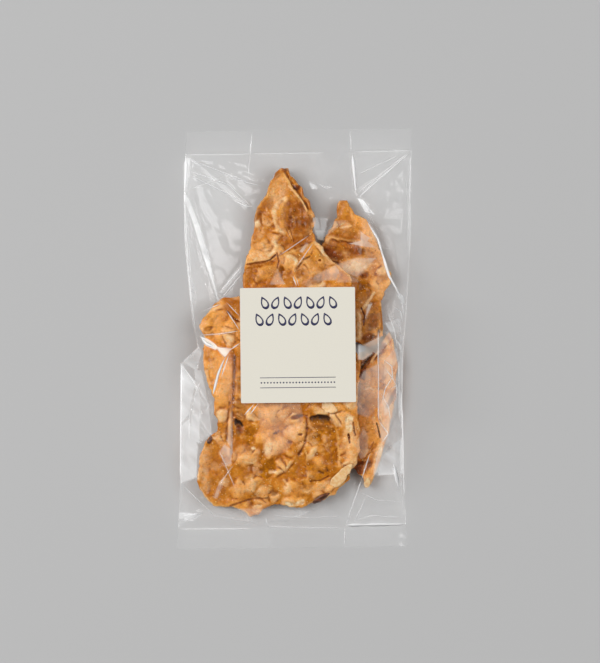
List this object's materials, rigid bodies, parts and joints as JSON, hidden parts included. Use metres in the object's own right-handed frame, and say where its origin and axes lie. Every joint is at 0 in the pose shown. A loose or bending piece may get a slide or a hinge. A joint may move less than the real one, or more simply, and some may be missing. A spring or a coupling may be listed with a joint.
{
  "type": "clear bag of nut brittle",
  "caption": "Clear side-gusseted film bag, heat sealed at both ends, holding broken pieces of nut brittle, with a square paper label on its front, printed with plain almond outlines and rules.",
  "frame": {"origin": "middle of the bag's footprint, on the surface that it lies on", "axes": "+Z out of the labelled front, +Y towards the bag's top end, +X to the right seen from the front"},
  "size_m": [0.1047, 0.1876, 0.0192],
  "materials": {
    "film": "clear glossy film, creased",
    "label": "matt off-white paper with thin dark rules",
    "brittle": "glossy caramel, amber to brown, with bubbles",
    "nut": "roasted nut, cream where cut, brown on the skin"
  },
  "bodies": {
    "root": {"bag": "film", "label": "label"}
  },
  "joints": []
}
